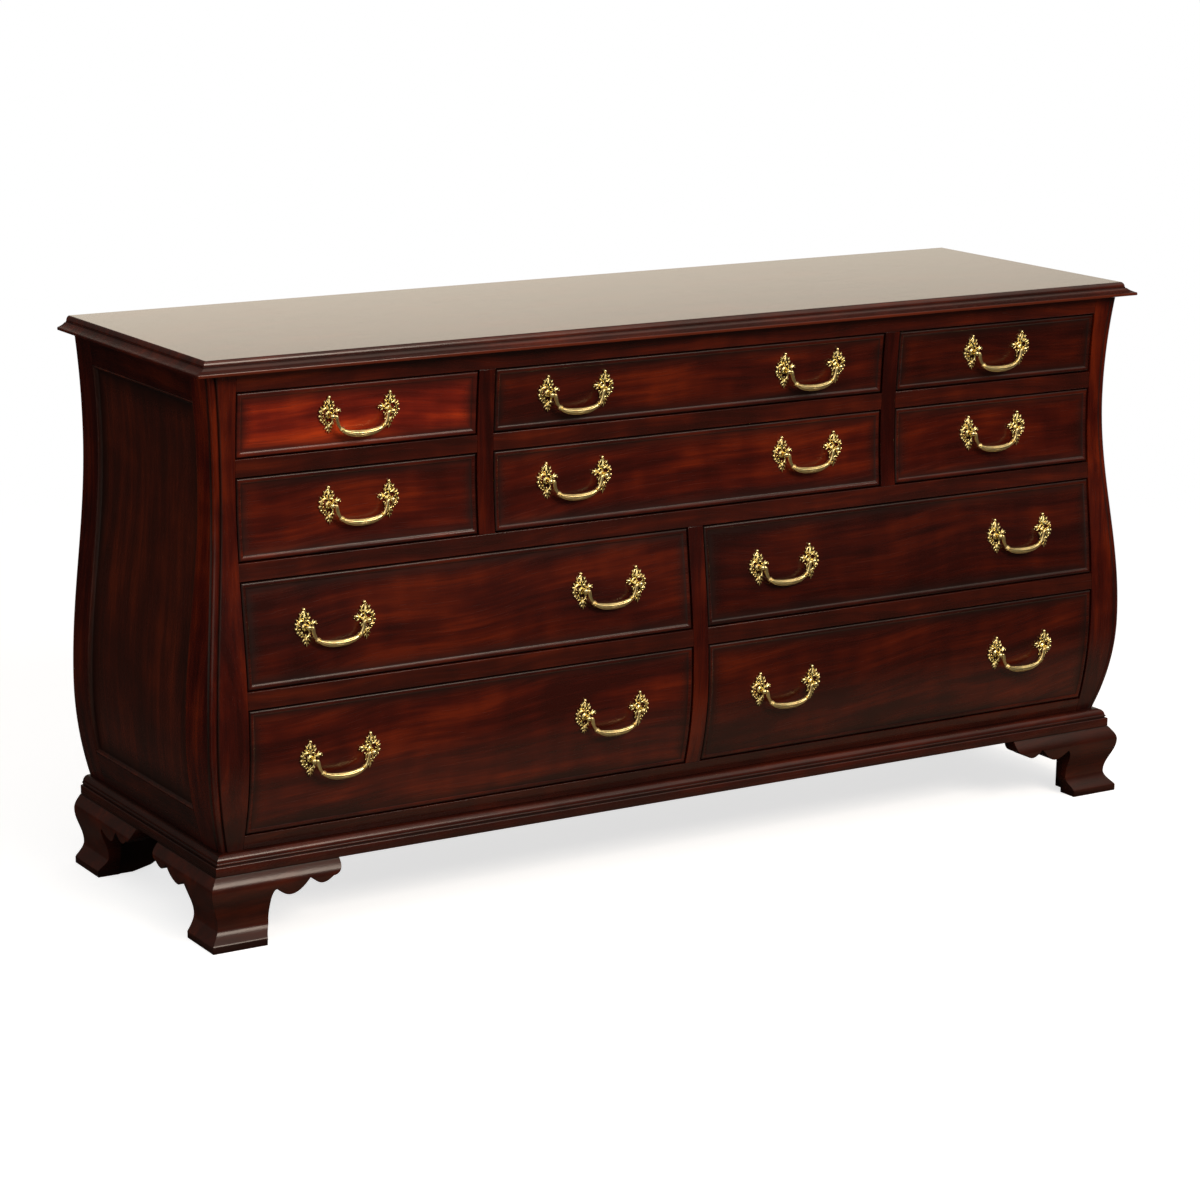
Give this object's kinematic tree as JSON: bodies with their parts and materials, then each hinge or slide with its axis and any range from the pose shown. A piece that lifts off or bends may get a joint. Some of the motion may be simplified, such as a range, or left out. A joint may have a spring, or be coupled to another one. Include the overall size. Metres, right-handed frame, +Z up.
{
  "type": "dresser",
  "caption": "Bombe mahogany dresser: short drawers over long ones, swelled front and sides, ogee bracket feet, brass bail pulls",
  "frame": {"origin": "middle of the footprint of the closed dresser, on the floor", "axes": "+X to the viewer's right along the front, +Y from the front to the back, +Z up"},
  "size_m": [1.76, 0.5374, 0.899],
  "materials": {
    "mahogany": "satin-gloss lacquer over deep red-brown stain",
    "panel_mahogany": "satin-gloss lacquer over deep red-brown stain",
    "drawer_mahogany": "satin-gloss lacquer, horizontal grain",
    "drawer_lining": "plain sanded secondary wood",
    "brass": "cast, aged and rubbed bright on the high places"
  },
  "bodies": {
    "case": {"back_panel": "drawer_lining", "base_moulding_front": "mahogany", "base_moulding_left": "mahogany", "base_moulding_right": "mahogany", "base_rear_rail": "drawer_lining", "bottom_board": "mahogany", "corner_post_left": "mahogany", "corner_post_right": "mahogany", "divider_lower": "mahogany", "divider_upper_left": "mahogany", "divider_upper_right": "mahogany", "drawer_rail_lower": "mahogany", "drawer_rail_middle": "mahogany", "drawer_rail_upper": "mahogany", "foot_front_left": "mahogany", "foot_front_right": "mahogany", "foot_rear_left": "mahogany", "foot_rear_right": "mahogany", "side_frame_left": "mahogany", "side_frame_right": "mahogany", "side_panel_left": "panel_mahogany", "side_panel_right": "panel_mahogany", "sub_top": "mahogany", "top_board": "mahogany"},
    "drawer_row1_left": {"drawer_front_row1_left": "drawer_mahogany", "drawer_box_row1_left": "drawer_lining"},
    "bail_row1_left": {"bail_row1_left": "brass"},
    "drawer_row1_centre": {"drawer_front_row1_centre": "drawer_mahogany", "drawer_box_row1_centre": "drawer_lining"},
    "bail_row1_centre_left": {"bail_row1_centre_left": "brass"},
    "bail_row1_centre_right": {"bail_row1_centre_right": "brass"},
    "drawer_row1_right": {"drawer_front_row1_right": "drawer_mahogany", "drawer_box_row1_right": "drawer_lining"},
    "bail_row1_right": {"bail_row1_right": "brass"},
    "drawer_row2_left": {"drawer_front_row2_left": "drawer_mahogany", "drawer_box_row2_left": "drawer_lining"},
    "bail_row2_left": {"bail_row2_left": "brass"},
    "drawer_row2_centre": {"drawer_front_row2_centre": "drawer_mahogany", "drawer_box_row2_centre": "drawer_lining"},
    "bail_row2_centre_left": {"bail_row2_centre_left": "brass"},
    "bail_row2_centre_right": {"bail_row2_centre_right": "brass"},
    "drawer_row2_right": {"drawer_front_row2_right": "drawer_mahogany", "drawer_box_row2_right": "drawer_lining"},
    "bail_row2_right": {"bail_row2_right": "brass"},
    "drawer_row3_left": {"drawer_front_row3_left": "drawer_mahogany", "drawer_box_row3_left": "drawer_lining"},
    "bail_row3_left_left": {"bail_row3_left_left": "brass"},
    "bail_row3_left_right": {"bail_row3_left_right": "brass"},
    "drawer_row3_right": {"drawer_front_row3_right": "drawer_mahogany", "drawer_box_row3_right": "drawer_lining"},
    "bail_row3_right_left": {"bail_row3_right_left": "brass"},
    "bail_row3_right_right": {"bail_row3_right_right": "brass"},
    "drawer_row4_left": {"drawer_front_row4_left": "drawer_mahogany", "drawer_box_row4_left": "drawer_lining"},
    "bail_row4_left_left": {"bail_row4_left_left": "brass"},
    "bail_row4_left_right": {"bail_row4_left_right": "brass"},
    "drawer_row4_right": {"drawer_front_row4_right": "drawer_mahogany", "drawer_box_row4_right": "drawer_lining"},
    "bail_row4_right_left": {"bail_row4_right_left": "brass"},
    "bail_row4_right_right": {"bail_row4_right_right": "brass"}
  },
  "joints": [
    {"name": "drawer_row1_left_slide", "type": "slide", "parent": "case", "child": "drawer_row1_left", "axis": [0, -1, 0], "range_m": [0, 0.32]},
    {"name": "bail_row1_left_hinge", "type": "hinge", "parent": "drawer_row1_left", "child": "bail_row1_left", "pos_m": [-0.60325, -0.23353, 0.80012], "axis": [-1, 0, 0], "range_deg": [0, 90]},
    {"name": "drawer_row1_centre_slide", "type": "slide", "parent": "case", "child": "drawer_row1_centre", "axis": [0, -1, 0], "range_m": [0, 0.32]},
    {"name": "bail_row1_centre_left_hinge", "type": "hinge", "parent": "drawer_row1_centre", "child": "bail_row1_centre_left", "pos_m": [-0.2225, -0.23353, 0.80012], "axis": [-1, 0, 0], "range_deg": [0, 90]},
    {"name": "bail_row1_centre_right_hinge", "type": "hinge", "parent": "drawer_row1_centre", "child": "bail_row1_centre_right", "pos_m": [0.2225, -0.23353, 0.80012], "axis": [-1, 0, 0], "range_deg": [0, 90]},
    {"name": "drawer_row1_right_slide", "type": "slide", "parent": "case", "child": "drawer_row1_right", "axis": [0, -1, 0], "range_m": [0, 0.32]},
    {"name": "bail_row1_right_hinge", "type": "hinge", "parent": "drawer_row1_right", "child": "bail_row1_right", "pos_m": [0.60325, -0.23353, 0.80012], "axis": [-1, 0, 0], "range_deg": [0, 90]},
    {"name": "drawer_row2_left_slide", "type": "slide", "parent": "case", "child": "drawer_row2_left", "axis": [0, -1, 0], "range_m": [0, 0.32]},
    {"name": "bail_row2_left_hinge", "type": "hinge", "parent": "drawer_row2_left", "child": "bail_row2_left", "pos_m": [-0.60325, -0.23123, 0.66359], "axis": [-1, 0, 0], "range_deg": [0, 90]},
    {"name": "drawer_row2_centre_slide", "type": "slide", "parent": "case", "child": "drawer_row2_centre", "axis": [0, -1, 0], "range_m": [0, 0.32]},
    {"name": "bail_row2_centre_left_hinge", "type": "hinge", "parent": "drawer_row2_centre", "child": "bail_row2_centre_left", "pos_m": [-0.2225, -0.23123, 0.66359], "axis": [-1, 0, 0], "range_deg": [0, 90]},
    {"name": "bail_row2_centre_right_hinge", "type": "hinge", "parent": "drawer_row2_centre", "child": "bail_row2_centre_right", "pos_m": [0.2225, -0.23123, 0.66359], "axis": [-1, 0, 0], "range_deg": [0, 90]},
    {"name": "drawer_row2_right_slide", "type": "slide", "parent": "case", "child": "drawer_row2_right", "axis": [0, -1, 0], "range_m": [0, 0.32]},
    {"name": "bail_row2_right_hinge", "type": "hinge", "parent": "drawer_row2_right", "child": "bail_row2_right", "pos_m": [0.60325, -0.23123, 0.66359], "axis": [-1, 0, 0], "range_deg": [0, 90]},
    {"name": "drawer_row3_left_slide", "type": "slide", "parent": "case", "child": "drawer_row3_left", "axis": [0, -1, 0], "range_m": [0, 0.32]},
    {"name": "bail_row3_left_left_hinge", "type": "hinge", "parent": "drawer_row3_left", "child": "bail_row3_left_left", "pos_m": [-0.655, -0.25069, 0.48581], "axis": [-1, 0, 0], "range_deg": [0, 90]},
    {"name": "bail_row3_left_right_hinge", "type": "hinge", "parent": "drawer_row3_left", "child": "bail_row3_left_right", "pos_m": [-0.168, -0.25069, 0.48581], "axis": [-1, 0, 0], "range_deg": [0, 90]},
    {"name": "drawer_row3_right_slide", "type": "slide", "parent": "case", "child": "drawer_row3_right", "axis": [0, -1, 0], "range_m": [0, 0.32]},
    {"name": "bail_row3_right_left_hinge", "type": "hinge", "parent": "drawer_row3_right", "child": "bail_row3_right_left", "pos_m": [0.168, -0.25069, 0.48581], "axis": [-1, 0, 0], "range_deg": [0, 90]},
    {"name": "bail_row3_right_right_hinge", "type": "hinge", "parent": "drawer_row3_right", "child": "bail_row3_right_right", "pos_m": [0.655, -0.25069, 0.48581], "axis": [-1, 0, 0], "range_deg": [0, 90]},
    {"name": "drawer_row4_left_slide", "type": "slide", "parent": "case", "child": "drawer_row4_left", "axis": [0, -1, 0], "range_m": [0, 0.32]},
    {"name": "bail_row4_left_left_hinge", "type": "hinge", "parent": "drawer_row4_left", "child": "bail_row4_left_left", "pos_m": [-0.655, -0.26365, 0.28115], "axis": [-1, 0, 0], "range_deg": [0, 90]},
    {"name": "bail_row4_left_right_hinge", "type": "hinge", "parent": "drawer_row4_left", "child": "bail_row4_left_right", "pos_m": [-0.168, -0.26365, 0.28115], "axis": [-1, 0, 0], "range_deg": [0, 90]},
    {"name": "drawer_row4_right_slide", "type": "slide", "parent": "case", "child": "drawer_row4_right", "axis": [0, -1, 0], "range_m": [0, 0.32]},
    {"name": "bail_row4_right_left_hinge", "type": "hinge", "parent": "drawer_row4_right", "child": "bail_row4_right_left", "pos_m": [0.168, -0.26365, 0.28115], "axis": [-1, 0, 0], "range_deg": [0, 90]},
    {"name": "bail_row4_right_right_hinge", "type": "hinge", "parent": "drawer_row4_right", "child": "bail_row4_right_right", "pos_m": [0.655, -0.26365, 0.28115], "axis": [-1, 0, 0], "range_deg": [0, 90]}
  ]
}
